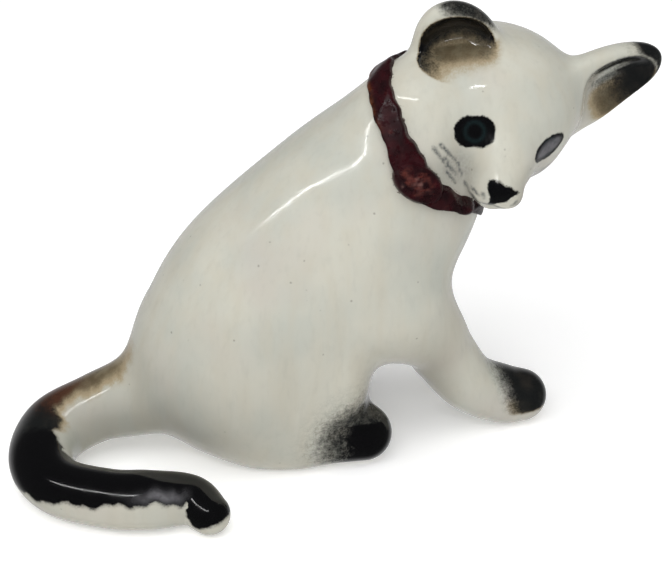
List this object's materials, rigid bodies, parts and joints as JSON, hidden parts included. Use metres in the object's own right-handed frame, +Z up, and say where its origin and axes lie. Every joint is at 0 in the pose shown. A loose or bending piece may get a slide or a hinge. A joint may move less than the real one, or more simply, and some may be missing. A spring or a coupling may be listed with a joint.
{
  "type": "ceramic cat figurine",
  "caption": "Seated kitten figurine in glazed china, head turned to its right, tail curled forward, dark painted points and a maroon ribbon collar with a bow; rests on a flat ground foot",
  "frame": {"origin": "at table height, under the middle of the figurine's overall footprint", "axes": "+X is where the kitten's chest points, along its longest side; +Y is the kitten's left; +Z is up; the face looks towards -Y"},
  "size_m": [0.078, 0.0324, 0.0551],
  "materials": {
    "china_white": "clear gloss glaze over warm grey-white bone china, with faint mottling, tiny specks and air-brushed dark points",
    "china_points": "black and brown underglaze points brushed over white china, with a clear gloss glaze",
    "ribbon_enamel": "dark maroon enamel over a raised ribbon, worn pinkish on the ridges"
  },
  "bodies": {
    "root": {"body": "china_white", "head": "china_white", "foreleg_right": "china_white", "foreleg_left": "china_white", "hind_paw_right": "china_points", "hind_paw_left": "china_points", "ear_right": "china_points", "ear_left": "china_points", "tail": "china_points", "collar_band": "ribbon_enamel", "bow_knot": "ribbon_enamel", "bow_loop_right": "ribbon_enamel", "bow_loop_left": "ribbon_enamel"}
  },
  "joints": []
}
